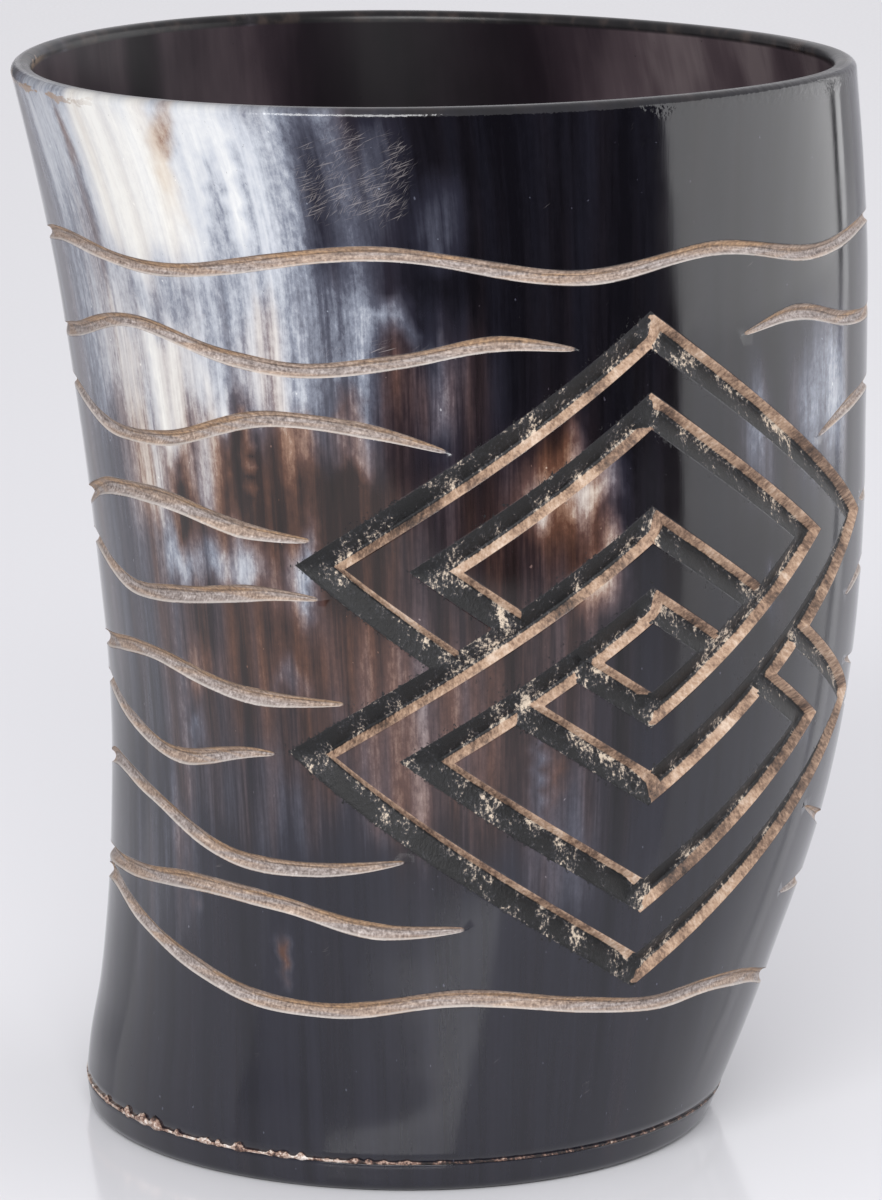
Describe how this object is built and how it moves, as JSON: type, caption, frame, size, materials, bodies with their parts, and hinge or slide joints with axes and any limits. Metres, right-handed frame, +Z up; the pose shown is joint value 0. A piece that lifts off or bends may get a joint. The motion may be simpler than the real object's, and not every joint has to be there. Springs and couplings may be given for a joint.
{
  "type": "horn drinking cup",
  "caption": "Handleless drinking cup: an open length of curved horn, oval in section, with a rounded lip and a plugged horn disc glued in as its flat foot.",
  "frame": {"origin": "on the table plane, under the middle of the cup's outline", "axes": "+Z up out of the mouth, -Y towards the viewer of the picture (the carved front), +X towards the side that bellies out"},
  "size_m": [0.0965, 0.0983, 0.12],
  "materials": {
    "horn": "polished and lacquered dark horn with cream, grey and brown streaks, carved lines left matt",
    "foot_horn": "polished and lacquered dark horn, nearly plain",
    "glue": "dried tan adhesive, matt and crumbly where it was squeezed out",
    "resin": "clear food-safe resin over dark horn, glossy"
  },
  "bodies": {
    "root": {"horn_wall": "horn", "foot_disc": "foot_horn", "glue_line": "glue", "sealing_bead": "resin"}
  },
  "joints": []
}
